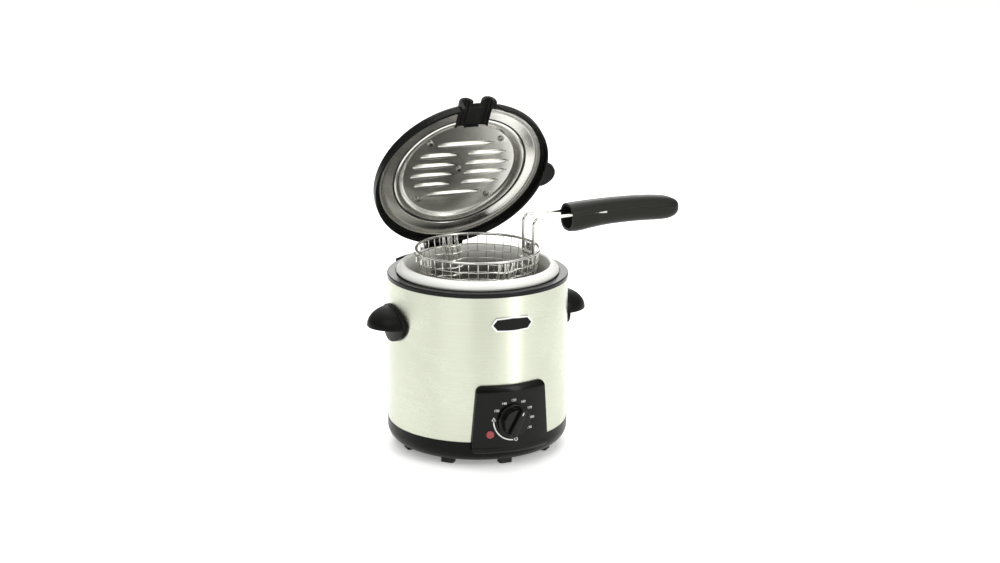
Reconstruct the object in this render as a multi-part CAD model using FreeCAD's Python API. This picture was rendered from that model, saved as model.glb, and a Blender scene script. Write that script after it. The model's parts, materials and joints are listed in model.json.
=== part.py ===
import FreeCAD, Part
import math
import os

# Deep fryer for the kitchen worktop: a round steel body with a loose pot, a wire
# basket and a hinged lid with a filter. Millimetres, +Z up, the front is -Y.
# The origin is the body's axis on the worktop. Rest pose: lid open, basket raised.

# ---- driving dimensions: body ------------------------------------------------
BODY_R = 92.5            # outer radius of the steel wrap
WRAP_T = 0.6             # sheet thickness of the wrap
WALL_LOW = 28.4          # height of the wrap's lower edge
RIM_Z = 178.0            # height of the wrap's upper edge, datum of the pot and the lid
FOOT_COUNT = 8
FOOT_R = 74.5            # radius of the circle that the feet stand on
BASE_R = 93.0            # outer radius of the plastic base tub
BASE_Z = 5.6             # underside of the base tub, and height of the feet
BASE_FLOOR = 3.0
RING_TOP = RIM_Z + 4.5   # upper face of the plastic top ring
BASE_SCREW_R = 66.0
BASE_SCREW_AZ = (30.0, 150.0, 210.0, 330.0)
COVER_R = 57.7           # bottom cover, in the tub's opening
BADGE_Z = 150.3
BADGE_PIN_X = (-14.0, 14.0)
INLET_Z = 46.0
HANDLE_Z = 137.0
HANDLE_SCREW_Z = HANDLE_Z + 4.0
HANDLE_SCREWS_Y = (-12.0, 12.0)
REAR_ARC = 80.0          # angle that the raised arc at the back covers

# ---- driving dimensions: pot, heater -----------------------------------------
POT_R = 73.3             # inner radius of the pot at its mouth
POT_FOOT_R = 68.0        # inner radius of the pot at its floor
POT_FLANGE_R = 83.4      # outer radius of the pot's flange
POT_TOP = RIM_Z + 13.3
POT_FLOOR = RIM_Z - 104.0
POT_T = 1.8
HEATER_TOP = POT_FLOOR - POT_T - 0.3
ELEMENT_R = 46.0         # radius of the heating element's ring
ELEMENT_END_X = 10.9     # its cold ends, either side of the middle
SHIELD_LOW = 39.0

# ---- driving dimensions: basket (raised) -------------------------------------
BASKET_AZ = 93.0         # handle direction, degrees from the front towards +X
BASKET_R = 63.2          # radius of the rim wire's centre line
BASKET_FOOT_R = 57.0
BASKET_RIM_Z = RIM_Z + 27.7
BASKET_LOW = BASKET_RIM_Z - 72.0
RIM_WIRE = 2.8
HANDLE_WIRE = 3.4
WIRE_GAP = 24.0          # distance between the two handle wires
WIRE_X = 57.8            # distance from the axis at which the handle wires rise
WIRE_Z = RIM_Z + 55.0    # height of the level run of the handle wires
GRIP_X0 = 102.0          # grip from here to GRIP_X1, along the handle
GRIP_X1 = 232.0
GRIP_W = 29.0
GRIP_SCREW_X = GRIP_X0 + 74.0

# ---- driving dimensions: lid (drawn closed, exported open) -------------------
LID_R = 94.0
LID_LOW = RIM_Z + 4.8
LID_TOP = RIM_Z + 31.0
PAN_R = 87.4
PLATE_R = 60.4           # flat part of the louvred filter cover
PLATE_Z = RIM_Z + 18.5
HINGE_Y = 98.0
HINGE_Z = RIM_Z + 12.0
LID_OPEN = 59.25         # opening angle at rest
SHEET = 0.6
GATE_HALF = 18.0         # half width of the gate in the pan
SCREW_AT = 38.7          # filter cover screws, on both axes
SCREWS = [(0.0, 0.0)] + [(a * SCREW_AT, b * SCREW_AT) for a in (-1, 1) for b in (-1, 1)]
WHOLE_LOUVRES = ((-34.4, -29.5, 29.5), (33.6, -29.0, 29.5))
SPLIT_LOUVRES = ((-20.6, 6.0, 46.0), (-7.0, 6.2, 52.0), (6.2, 6.4, 52.2), (19.8, 6.6, 45.6))
LOUVRE_SLOT_R = 2.2

# ---- driving dimensions: front panel and knob --------------------------------
PANEL_R = 97.2
PANEL_TOP = 88.0
PANEL_LOW = 17.6
PANEL_TOP_HALF = 37.0
PANEL_LOW_HALF = 41.5
KNOB_Z = 51.5
KNOB_R = 17.0
KNOB_BACK = -PANEL_R - 0.4
KNOB_SKIRT = 3.2
KNOB_DEPTH = 13.5
POINTER_DEG = 26.0       # pointer at rest, clockwise from straight up
DIAL_R = 20.6
DIAL_TICKS = (302.0, 331.0, 0.0, 30.0, 60.0, 90.0, 120.0)
OFF_DEG = 172.0
SWEEP_END_DEG = 268.0
LAMP_X = -24.0
LAMP_Z = 38.0

Z = FreeCAD.Vector(0, 0, 1)
O = FreeCAD.Vector(0, 0, 0)
NODES = {}


def vec(x, y, z):
    return FreeCAD.Vector(x, y, z)


def cyl(r, z0, z1, x=0.0, y=0.0):
    return Part.makeCylinder(r, z1 - z0, vec(x, y, z0), Z)


def tube(r_out, r_in, z0, z1, x=0.0, y=0.0):
    return cyl(r_out, z0, z1, x, y).cut(cyl(r_in, z0 - 1, z1 + 1, x, y))


def rod(r, start, end):
    a, b = vec(*start), vec(*end)
    return Part.makeCylinder(r, (b - a).Length, a, b - a)


def box(x0, x1, y0, y1, z0, z1):
    return Part.makeBox(x1 - x0, y1 - y0, z1 - z0, vec(x0, y0, z0))


def outline(points, place):
    """Edges through (a, b) points; a triple of points in a tuple means an arc through its middle one."""
    edges = []
    last = None
    first = None
    for p in points:
        if isinstance(p[0], tuple):
            mid, end = place(*p[0]), place(*p[1])
            edges.append(Part.Arc(last, mid, end).toShape())
            last = end
        else:
            here = place(*p)
            if last is not None:
                edges.append(Part.LineSegment(last, here).toShape())
            else:
                first = here
            last = here
    if (last - first).Length > 1e-6:
        edges.append(Part.LineSegment(last, first).toShape())
    return Part.Face(Part.Wire(edges))


def revolve(points, angle=360.0):
    """Solid of revolution about Z from an outline of (radius, height) points."""
    return outline(points, lambda r, z: vec(r, 0, z)).revolve(O, Z, angle)


def prism_y(points, y0, y1):
    """An outline of (x, z) points drawn along Y."""
    return outline(points, lambda x, z: vec(x, y0, z)).extrude(vec(0, y1 - y0, 0))


def prism_x(points, x0, x1):
    """An outline of (y, z) points drawn along X."""
    return outline(points, lambda y, z: vec(x0, y, z)).extrude(vec(x1 - x0, 0, 0))


def turned(shape, degrees, about=O, axis=Z):
    copy = shape.copy()
    copy.rotate(about, axis, degrees)
    return copy


def moved(shape, x=0.0, y=0.0, z=0.0):
    copy = shape.copy()
    copy.translate(vec(x, y, z))
    return copy


def from_front(shape, azimuth):
    """Turn a shape that was drawn at the front (-Y) to an azimuth towards +X."""
    return turned(shape, azimuth)


def rounded_rect(x0, x1, z0, z1, r):
    """Outline points of a rectangle with round corners."""
    k = r * (1 - math.sqrt(0.5))
    return [
        (x0 + r, z0), (x1 - r, z0), ((x1 - k, z0 + k), (x1, z0 + r)),
        (x1, z1 - r), ((x1 - k, z1 - k), (x1 - r, z1)),
        (x0 + r, z1), ((x0 + k, z1 - k), (x0, z1 - r)),
        (x0, z0 + r), ((x0 + k, z0 + k), (x0 + r, z0)),
    ]


def fillet(shape, radius, wanted):
    """Round the edges for which wanted(edge) is true; the shape stays as it is if that fails."""
    edges = [e for e in shape.Edges if wanted(e)]
    if not edges:
        return shape
    try:
        result = shape.makeFillet(radius, edges)
    except Exception:
        return shape
    return result if result.isValid() and result.Volume > 0 else shape


def sweep(edges, r, start, along):
    """A round wire along a path."""
    ring = Part.Wire([Part.makeCircle(r, start, along)])
    return Part.Wire(edges).makePipeShell([ring], True, False)


def path(points, r):
    """Straight runs through the points, joined by tangent arcs of radius r (a number or a list)."""
    pts = [vec(*p) for p in points]
    radii = r if isinstance(r, list) else [r] * (len(pts) - 2)
    edges = []
    last = pts[0]
    for i, radius in enumerate(radii, start=1):
        a = (pts[i - 1] - pts[i]).normalize()
        b = (pts[i + 1] - pts[i]).normalize()
        turn = math.pi - a.getAngle(b)
        cut = radius * math.tan(turn / 2)
        p, q = pts[i] + a * cut, pts[i] + b * cut
        bisector = (a + b).normalize()
        middle = pts[i] + bisector * (radius / math.cos(turn / 2) - radius)
        edges.append(Part.LineSegment(last, p).toShape())
        edges.append(Part.Arc(p, middle, q).toShape())
        last = q
    edges.append(Part.LineSegment(last, pts[-1]).toShape())
    return edges


def wire_along(points, bend, r):
    first, second = vec(*points[0]), vec(*points[1])
    return sweep(path(points, bend), r, first, second - first)


def group(shapes):
    return Part.makeCompound(shapes)


# ---- body --------------------------------------------------------------------

def panel_window():
    """Opening in the wall behind the control panel."""
    return prism_y(rounded_rect(-30, 30, 26, 76, 4), -100, -70)


def inlet_window():
    """Opening in the wall for the mains inlet."""
    return prism_y(rounded_rect(-18.3, 18.3, INLET_Z - 11.3, INLET_Z + 11.3, 3), 70, 110)


def outer_wrap():
    wall = tube(BODY_R, BODY_R - WRAP_T, WALL_LOW, RIM_Z - 0.2)
    wall = wall.cut(panel_window())
    for side in (-1, 1):
        for y in HANDLE_SCREWS_Y:
            wall = wall.cut(rod(2.3, (side * 80, y, HANDLE_SCREW_Z), (side * 100, y, HANDLE_SCREW_Z)))
    for x in BADGE_PIN_X:
        wall = wall.cut(rod(1.6, (x, -100, BADGE_Z), (x, -70, BADGE_Z)))
    return wall.cut(inlet_window())


def base_housing():
    """Tub that closes the body underneath, with a rounded lower edge and screw bosses."""
    outer = [
        (0, BASE_Z), (80.0, BASE_Z), ((88.8, 10.4), (BASE_R, 20.0)), (BASE_R, WALL_LOW - 0.2),
        (BODY_R - WRAP_T - 0.2, WALL_LOW - 0.2), (BODY_R - WRAP_T - 0.2, WALL_LOW + 9),
        (BODY_R - WRAP_T - 2.4, WALL_LOW + 9), (BODY_R - WRAP_T - 2.4, 21.0),
        ((86.2, 12.2), (78.5, BASE_Z + BASE_FLOOR)), (0, BASE_Z + BASE_FLOOR),
    ]
    tub = revolve(outer)
    tub = tub.cut(cyl(58.0, BASE_Z - 1, BASE_Z + BASE_FLOOR + 1))
    tub = tub.fuse(tube(62.0, 58.0, BASE_Z + 2.0, BASE_Z + BASE_FLOOR))
    for i in range(FOOT_COUNT):
        pocket = box(-5.2, 5.2, -FOOT_R - 3.2, -FOOT_R + 3.2, BASE_Z - 1, BASE_Z + 1.6)
        tub = tub.cut(from_front(pocket, i * 360.0 / FOOT_COUNT))
    for az in BASE_SCREW_AZ:
        boss = tube(4.0, 1.3, BASE_Z + BASE_FLOOR, 26.0, 0, -BASE_SCREW_R)
        tub = tub.fuse(from_front(boss, az))
        tub = tub.cut(from_front(cyl(1.3, BASE_Z - 1, 20, 0, -BASE_SCREW_R), az))
    return tub.cut(panel_window()).cut(inlet_window())


def bottom_cover():
    """Round plate in the middle of the underside, with cooling slots."""
    plate = cyl(COVER_R, BASE_Z + 0.2, BASE_Z + 1.8)
    for i in range(-3, 4):
        length = 34.0 - 3.0 * abs(i)
        slot = box(-length / 2, length / 2, i * 9.0 - 1.6, i * 9.0 + 1.6, BASE_Z - 1, BASE_Z + 3)
        plate = plate.cut(slot)
    return plate


def feet():
    """Rubber feet, each a tapered block with a stem pressed into the base."""
    solids = []
    for i in range(FOOT_COUNT):
        block = box(-6.6, 6.6, -FOOT_R - 4.6, -FOOT_R + 4.6, 0, BASE_Z - 0.1)
        block = fillet(block, 1.6, lambda e: e.BoundBox.ZLength > 1)
        stem = box(-5.0, 5.0, -FOOT_R - 3.0, -FOOT_R + 3.0, BASE_Z - 0.1, BASE_Z + 1.4)
        solids.append(from_front(block.fuse(stem), i * 360.0 / FOOT_COUNT))
    return group(solids)


def base_screws():
    solids = []
    for az in BASE_SCREW_AZ:
        screw = cyl(1.2, BASE_Z - 1.0, 18.0, 0, -BASE_SCREW_R)
        head = cyl(2.9, BASE_Z - 2.0, BASE_Z - 0.05, 0, -BASE_SCREW_R)
        solids.append(from_front(screw.fuse(head), az))
    return group(solids)


def top_ring():
    """Plastic ring that caps the wrap and carries the pot's flange."""
    return revolve([
        (BODY_R + 0.4, RIM_Z), (BODY_R + 0.4, RING_TOP - 1.2),
        ((BODY_R + 0.05, RING_TOP - 0.35), (BODY_R - 0.8, RING_TOP)),
        (84.6, RING_TOP), (84.0, RING_TOP - 0.6), (79.0, RING_TOP - 0.6),
        (79.0, RIM_Z - 10), (81.0, RIM_Z - 10), (81.0, RIM_Z + 1.2),
        (89.6, RIM_Z + 1.2), (89.6, RIM_Z - 6), (BODY_R - WRAP_T - 0.2, RIM_Z - 6),
        (BODY_R - WRAP_T - 0.2, RIM_Z),
    ])


def rear_housing():
    """Raised arc round the back of the ring, with the two lugs that hold the hinge pin."""
    arc = revolve([
        (BODY_R + 0.6, RIM_Z - 9), (97.0, RIM_Z - 5), (97.0, RIM_Z + 4.4),
        ((96.6, RIM_Z + 5.2), (95.8, RIM_Z + 5.4)), (94.5, RIM_Z + 5.4), (94.5, RING_TOP - 0.2),
        (BODY_R + 0.6, RING_TOP - 1.4),
    ], REAR_ARC)
    arc = turned(arc, 90.0 - REAR_ARC / 2)
    block = box(-24, 24, 88, 104, RIM_Z - 24, RIM_Z + 6.4)
    block = block.cut(cyl(BODY_R + 0.6, RIM_Z - 30, RIM_Z + 10))
    block = block.cut(cyl(94.5, RING_TOP - 0.2, RIM_Z + 10))
    taper = prism_x([(96, RIM_Z - 25), (110, RIM_Z - 25), (110, RIM_Z - 6)], -30, 30)
    housing = arc.fuse(block.cut(taper))
    for side in (-1, 1):
        x0, x1 = sorted((side * 14.0, side * 20.5))
        lug = prism_x([
            (94.6, RIM_Z + 2), (94.6, HINGE_Z - 3.5), (HINGE_Y - 4.6, HINGE_Z),
            ((HINGE_Y, HINGE_Z + 4.6), (HINGE_Y + 4.6, HINGE_Z)),
            (104.0, RIM_Z + 4), (104.0, RIM_Z + 2),
        ], x0, x1)
        housing = housing.fuse(lug)
    trough = rod(5.6, (-13.9, HINGE_Y, HINGE_Z), (13.9, HINGE_Y, HINGE_Z))
    housing = housing.cut(trough)
    bore = rod(2.0, (-30, HINGE_Y, HINGE_Z), (30, HINGE_Y, HINGE_Z))
    housing = housing.cut(bore)
    lid_room = lid_envelope()
    for degrees in (0, -15, -30, -45, -LID_OPEN):
        housing = housing.cut(turned(lid_room, degrees, vec(0, HINGE_Y, HINGE_Z), vec(1, 0, 0)))
    return housing.removeSplitter()


def lid_envelope():
    """Space that the closed lid's edge needs at the back, with 0.4 mm of air round it."""
    edge = revolve([
        (80.0, LID_LOW - 0.4), (LID_R + 0.4, LID_LOW - 0.4), (LID_R + 0.4, RIM_Z + 12.4),
        ((93.0, RIM_Z + 15.6), (89.8, RIM_Z + 17.4)), (80.0, RIM_Z + 20.6),
    ], 60.0)
    return turned(edge, 60.0)


def dome(edge_r, edge_z, top, outwards=True):
    """Outline points of a shallow dome between its edge and its top on the axis."""
    rise = top - edge_z
    sphere = (edge_r ** 2 + rise ** 2) / (2 * rise)
    mid = edge_r * 0.55
    height = top - (sphere - math.sqrt(sphere ** 2 - mid ** 2))
    return ((mid, height), (edge_r, edge_z)) if outwards else ((mid, height), (0, top))


def hinge_pin():
    return rod(1.95, (-20.4, HINGE_Y, HINGE_Z), (20.4, HINGE_Y, HINGE_Z))


def carry_handle(side):
    """Side lug: an oval base plate on the wall and a shelf with a flat underside."""
    plate = Part.makeCylinder(1.0, 14, vec(-98, 0, 0), vec(1, 0, 0))
    stretch = FreeCAD.Matrix()
    stretch.A11, stretch.A22, stretch.A33 = 1.0, 29.0, 18.5
    plate = plate.transformGeometry(stretch)
    plate.translate(vec(0, 0, HANDLE_Z))
    plate = plate.common(cyl(BODY_R + 4.2, 100, 175))
    shelf = Part.makeSphere(1.0)
    stretch.A11, stretch.A22, stretch.A33 = 31.0, 27.5, 20.5
    shelf = shelf.transformGeometry(stretch)
    shelf.translate(vec(-88.0, 0, HANDLE_Z - 2.0))
    shelf = shelf.cut(box(-200, 0, -60, 60, 90, HANDLE_Z - 2.6))
    shelf = shelf.common(cyl(119.0, 90, 175))
    lug = plate.fuse(shelf).cut(cyl(BODY_R + 0.15, 90, 175))
    lug = lug.cut(box(-80, 80, -60, 60, 90, 175))
    for y in HANDLE_SCREWS_Y:
        lug = lug.cut(rod(1.7, (-104, y, HANDLE_SCREW_Z), (-80, y, HANDLE_SCREW_Z)))
    if side > 0:
        lug = turned(lug, 180.0)
    return lug.removeSplitter()


def handle_screws():
    """Screws driven from inside the wall into the two side lugs."""
    solids = []
    for side in (-1, 1):
        for y in HANDLE_SCREWS_Y:
            z = HANDLE_SCREW_Z
            shank = rod(1.6, (side * 88.0, y, z), (side * 103.5, y, z))
            head = rod(3.4, (side * 88.2, y, z), (side * 90.6, y, z))
            solids.append(shank.fuse(head))
    return group(solids)


def control_panel():
    """Raised plastic panel that follows the wall and laps over the base."""
    ring = revolve([
        (BASE_R + 0.25, PANEL_LOW), (95.6, PANEL_LOW), ((97.0, 19.4), (PANEL_R + 0.3, 24.0)),
        (PANEL_R, 27.0), (PANEL_R, PANEL_TOP - 8.0),
        ((96.3, PANEL_TOP - 3.6), (94.0, PANEL_TOP)), (BASE_R + 0.25, PANEL_TOP),
    ])
    top, low, r = PANEL_TOP_HALF, PANEL_LOW_HALF, 6.5
    k = r * (1 - math.sqrt(0.5))
    face = prism_y([
        (-low + 5, PANEL_LOW), (low - 5, PANEL_LOW),
        ((low - 1.5, PANEL_LOW + 1.5), (low, PANEL_LOW + 5)), (top, PANEL_TOP - r),
        ((top - k, PANEL_TOP - k), (top - r, PANEL_TOP)), (-top + r, PANEL_TOP),
        ((-top + k, PANEL_TOP - k), (-top, PANEL_TOP - r)), (-low, PANEL_LOW + 5),
        ((-low + 1.5, PANEL_LOW + 1.5), (-low + 5, PANEL_LOW)),
    ], -110, -60)
    panel = ring.common(face)
    panel = fillet(panel, 2.4, panel_side_edge)
    panel = panel.cut(rod(3.6, (0, -110, KNOB_Z), (0, -60, KNOB_Z)))
    return panel.cut(lamp_rod(4.1, 80, 110))


def panel_side_edge(edge):
    """The upright outer edges of the panel, which get a round."""
    c = edge.CenterOfMass
    upright = abs(edge.BoundBox.ZLength) > 30
    return upright and math.hypot(c.x, c.y) > 96.0


def lamp_rod(r, r0, r1):
    az = math.asin(LAMP_X / PANEL_R)
    ux, uy = math.sin(az), -math.cos(az)
    return rod(r, (r0 * ux, r0 * uy, LAMP_Z), (r1 * ux, r1 * uy, LAMP_Z))


def indicator_lens():
    lens = lamp_rod(3.9, 91.0, 97.9)
    return lens.fuse(lamp_rod(4.8, 90.2, 91.0)).common(cyl(97.9, 0, 100))


def indicator_lamp():
    return lamp_rod(2.2, 74.0, 89.8)


def badge_outline(half_w, half_h, point):
    x, h = half_w, half_h
    return [(-x, 0), (-x + point, -h * 0.86), (0, -h), (x - point, -h * 0.86),
            (x, 0), (x - point, h * 0.86), (0, h), (-x + point, h * 0.86)]


def badge_frame():
    """Bright frame of the blank badge, pressed to the wall's curve, with two pins through it."""
    grow = [(x, z + BADGE_Z) for x, z in badge_outline(22.5, 7.8, 5.0)]
    frame = prism_y(grow, -110, -60)
    frame = frame.common(tube(BODY_R + 1.7, BODY_R + 0.1, 130, 170))
    inner = [(x, z + BADGE_Z) for x, z in badge_outline(20.6, 6.3, 4.4)]
    frame = frame.cut(prism_y(inner, -110, -60).common(tube(BODY_R + 3, BODY_R + 1.0, 130, 170)))
    for x in BADGE_PIN_X:
        frame = frame.fuse(rod(1.4, (x, -BODY_R + 0.2, BADGE_Z), (x, -BODY_R + 3.4, BADGE_Z)))
    return frame


def badge_face():
    inner = [(x, z + BADGE_Z) for x, z in badge_outline(20.4, 6.1, 4.4)]
    return prism_y(inner, -110, -60).common(tube(BODY_R + 1.55, BODY_R + 1.1, 130, 170))


def dial_marks():
    """Printed scale on the panel: a tick for each setting, the warm-up arc and the off ring."""
    marks = []
    r = DIAL_R
    for degrees in DIAL_TICKS:
        tick = box(-1.9, 1.9, -110, -60, r - 0.9, r + 0.9)
        a = math.radians(degrees)
        dx, dz = r * math.sin(a), r * math.cos(a)
        marks.append(moved(tick, dx, 0, KNOB_Z + dz - r))
    sweep_arc = ring_sector(r + 0.5, r - 0.5, OFF_DEG + 9.0, SWEEP_END_DEG)
    marks.append(moved(sweep_arc, 0, 0, KNOB_Z))
    a = math.radians(OFF_DEG)
    off = Part.makeCylinder(1.9, 60, vec(0, -110, 0), vec(0, 1, 0))
    off = off.cut(Part.makeCylinder(1.2, 62, vec(0, -111, 0), vec(0, 1, 0)))
    marks.append(moved(off, r * math.sin(a), 0, KNOB_Z + r * math.cos(a)))
    skin = tube(PANEL_R + 0.12, PANEL_R + 0.01, 20, 86)
    front = box(-60, 60, -120, -40, 0, 120)
    return group([m.common(skin).common(front) for m in marks])


def ring_sector(r_out, r_in, deg0, deg1):
    """Part of a flat ring in the XZ plane, clockwise from straight up, drawn along Y."""
    def at(r, degrees):
        a = math.radians(degrees)
        return (r * math.sin(a), r * math.cos(a))
    mid = (deg0 + deg1) / 2
    return prism_y([
        at(r_out, deg0), (at(r_out, mid), at(r_out, deg1)),
        at(r_in, deg1), (at(r_in, mid), at(r_in, deg0)),
    ], -110, -50)


# ---- inside the body ---------------------------------------------------------

def heater_plate():
    """Cast disc that heats the pot's floor, with a groove under it for the element."""
    plate = revolve([
        (0, HEATER_TOP - 4), (64, HEATER_TOP - 4), (64, HEATER_TOP - 12), (66, HEATER_TOP - 12),
        (66, HEATER_TOP), (0, HEATER_TOP),
    ])
    groove = Part.makeTorus(ELEMENT_R, 4.1, vec(0, 0, HEATER_TOP - 7.0), Z)
    return plate.cut(groove)


def heating_element():
    """Tubular element bent to a ring under the plate, its two cold ends turned down."""
    ring = Part.makeTorus(ELEMENT_R, 3.9, vec(0, 0, HEATER_TOP - 7.4), Z)
    ring = ring.cut(box(-7, 7, 36, 60, HEATER_TOP - 20, HEATER_TOP))
    for x, y in element_ends():
        ring = ring.fuse(cyl(3.2, HEATER_TOP - 24, HEATER_TOP - 9, x, y))
    return ring.removeSplitter()


def element_ends():
    """(x, y) of the element's two cold ends."""
    y = math.sqrt(ELEMENT_R ** 2 - ELEMENT_END_X ** 2)
    return [(-ELEMENT_END_X, y), (ELEMENT_END_X, y)]


def heat_shield():
    """Bright tinned-steel pan that keeps the heat off the base and the wall."""
    low = SHIELD_LOW
    shield = revolve([
        (0, low), (78.4, low), (78.4, RIM_Z - 14.8), (81.0, RIM_Z - 14.8), (81.0, RIM_Z - 14.0),
        (77.6, RIM_Z - 14.0), (77.6, low + 0.8), (0, low + 0.8),
    ])
    window = box(-24, 24, -90, -60, 36, 66)
    for x, y in element_ends():
        shield = shield.cut(cyl(4.5, 30, 45, x, y))
    return shield.cut(window)


def heater_posts():
    """Three ceramic posts that stand the plate off the shield."""
    post = cyl(4.0, SHIELD_LOW + 0.9, HEATER_TOP - 12.1, 0, -62.0)
    return group([from_front(post, az) for az in (60.0, 180.0, 300.0)])


def shield_posts():
    """Legs of the base that carry the heat shield."""
    post = cyl(4.5, BASE_Z + BASE_FLOOR + 0.05, SHIELD_LOW - 0.05, 0, -66.5)
    return group([from_front(post, az) for az in (55.0, 125.0, 235.0, 305.0)])


def thermostat_body():
    housing = box(-13, 13, -86, -68, KNOB_Z - 13, KNOB_Z + 13)
    collar = rod(5.0, (0, -88.6, KNOB_Z), (0, -86, KNOB_Z))
    hole = rod(3.05, (0, -120, KNOB_Z), (0, -76, KNOB_Z))
    return housing.fuse(collar).cut(hole)


def thermostat_bracket():
    """Folded steel strap that hangs the thermostat behind the panel's window."""
    plate = box(-28, 28, -88.2, -86.2, KNOB_Z - 10, KNOB_Z + 10)
    plate = plate.cut(rod(5.3, (0, -100, KNOB_Z), (0, -70, KNOB_Z)))
    return plate.cut(lamp_rod(5.2, 60, 100))


def sensor_bulb():
    """Thermostat's feeler, clipped under the heater plate."""
    return rod(2.4, (-22, 0, HEATER_TOP - 6.6), (22, 0, HEATER_TOP - 6.6))


def thermal_fuse():
    return rod(2.0, (-20, 20, HEATER_TOP - 6.2), (-2, 20, HEATER_TOP - 6.2))


def terminal_block():
    block = box(-16, 16, 56, 68, BASE_Z + BASE_FLOOR + 0.05, 22)
    for x in (-9, 0, 9):
        block = block.cut(cyl(2.2, 14, 30, x, 62))
    return block


def inlet_socket():
    """Shrouded socket for the break-away lead, set in the back of the wall."""
    face_y = BODY_R + 1.6
    flange = prism_y(rounded_rect(-21, 21, INLET_Z - 13.5, INLET_Z + 13.5, 4), 82, face_y)
    flange = flange.cut(cyl(BASE_R + 0.2, 0, 100))
    shroud = prism_y(rounded_rect(-18, 18, INLET_Z - 11, INLET_Z + 11, 3), 79.6, face_y)
    recess = prism_y(rounded_rect(-14.5, 14.5, INLET_Z - 7.5, INLET_Z + 7.5, 2), 82.6, face_y + 2)
    socket = flange.fuse(shroud).cut(recess)
    for x in (-6.0, 6.0):
        socket = socket.cut(rod(1.9, (x, 60, INLET_Z), (x, 90, INLET_Z)))
    return socket.removeSplitter()


def inlet_pins():
    return group([rod(1.8, (x, 79.0, INLET_Z), (x, 90, INLET_Z)) for x in (-6.0, 6.0)])


# ---- pot ---------------------------------------------------------------------

def pot():
    """Deep-drawn pot with a thick rolled flange that sits on the ring."""
    f, t, w = POT_FLOOR, POT_T, POT_R
    low = RING_TOP + 0.3
    return revolve([
        (0, f), (POT_FOOT_R - 9, f), ((POT_FOOT_R - 2.6, f + 2.6), (POT_FOOT_R, f + 9)),
        (w - 1.4, RIM_Z + 4), (w, POT_TOP - 3.0), ((w + 1.0, POT_TOP - 0.7), (w + 3.4, POT_TOP)),
        ((81.6, POT_TOP - 3.4), (POT_FLANGE_R, low + 1.6)), (POT_FLANGE_R - 0.6, low),
        (78.6, low), (76.6, RIM_Z + 3), (POT_FOOT_R + t, f + 9),
        ((POT_FOOT_R - 1.2, f + 1.4), (POT_FOOT_R - 9, f - t)), (0, f - t),
    ])


# ---- basket ------------------------------------------------------------------

def handle_frame(shape):
    """Turn a piece drawn with the handle along +X to the handle's direction."""
    return turned(shape, BASKET_AZ - 90.0)


def basket_cup():
    """Cup of woven wire: its wall and floor as one thin closed skin."""
    z0, z1, t = BASKET_LOW, BASKET_RIM_Z - 1.6, 1.0
    r0, r1 = BASKET_FOOT_R, BASKET_R - 0.2
    return revolve([
        (0, z0), (r0 - 8, z0), ((r0 - 2.2, z0 + 2.2), (r0, z0 + 8)), (r1, z1), (r1 - t, z1),
        (r0 - t, z0 + 8), ((r0 - 3.2, z0 + 3.2), (r0 - 8, z0 + t)), (0, z0 + t),
    ])


def basket_rim():
    return Part.makeTorus(BASKET_R, RIM_WIRE / 2, vec(0, 0, BASKET_RIM_Z), Z)


def rest_hook():
    """Hook opposite the handle that hangs the raised basket on the pot's edge to drain."""
    x0 = BASKET_R + 1.7
    points = [(-x0 - 0.2, BASKET_RIM_Z - 9), (-x0 - 0.2, BASKET_RIM_Z - 3), (-x0 - 3.2, BASKET_RIM_Z + 1)]
    solids = []
    for side in (-1, 1):
        y = side * 6.0
        solids.append(wire_along([(x, y, z) for x, z in points], 2.5, 1.1))
    return handle_frame(group(solids))


def handle_bracket():
    """Pressed tab inside the rim, between the two handle wires, that their cross-piece hooks under."""
    tab = tube(60.9, 60.1, BASKET_RIM_Z - 8.6, BASKET_RIM_Z - 1.7)
    return handle_frame(tab.common(box(0, 80, -9.4, 9.4, 0, 400)))


def handle_wires():
    """The two bent wires between the clip and the grip, joined by a cross-piece inside the basket."""
    z_low = BASKET_RIM_Z - 11.0
    h = WIRE_GAP / 2
    points = [
        (GRIP_X0 + 40, h, WIRE_Z), (WIRE_X, h, WIRE_Z), (WIRE_X, h, z_low),
        (WIRE_X, -h, z_low), (WIRE_X, -h, WIRE_Z), (GRIP_X0 + 40, -h, WIRE_Z),
    ]
    wires = wire_along(points, [6.5, 3.4, 3.4, 6.5], HANDLE_WIRE / 2)
    return handle_frame(wires)


def grip_section(x, top, low, width):
    """Closed round-cornered section of the grip, at a place along it."""
    w, r = width / 2, min(width, top - low) * 0.42
    k = r * (1 - math.sqrt(0.5))
    pts = [
        (-w + r, low), (w - r, low), ((w - k, low + k), (w, low + r)), (w, top - r),
        ((w - k, top - k), (w - r, top)), (-w + r, top), ((-w + k, top - k), (-w, top - r)),
        (-w, low + r), ((-w + k, low + k), (-w + r, low)),
    ]
    return outline(pts, lambda y, z: vec(x, y, z)).OuterWire


def grip_whole():
    """Slightly arched bar, thicker at the pot's end and rounded at the far end."""
    stations = [
        (0.0, 64.6, 36.2, 1.0), (0.05, 65.2, 35.4, 1.0), (0.16, 65.8, 36.6, 0.98),
        (0.3, 66.3, 38.6, 0.93), (0.5, 66.2, 39.4, 0.9), (0.7, 65.2, 39.0, 0.92),
        (0.85, 63.2, 38.4, 0.93), (0.94, 60.6, 40.0, 0.84), (0.985, 57.4, 43.4, 0.62),
        (1.0, 54.2, 47.0, 0.36),
    ]
    length = GRIP_X1 - GRIP_X0
    wires = []
    for s, top, low, width in stations:
        x = GRIP_X0 + s * length
        wires.append(grip_section(x, RIM_Z + top, RIM_Z + low, GRIP_W * width))
    return Part.makeLoft(wires, True, False)


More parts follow.
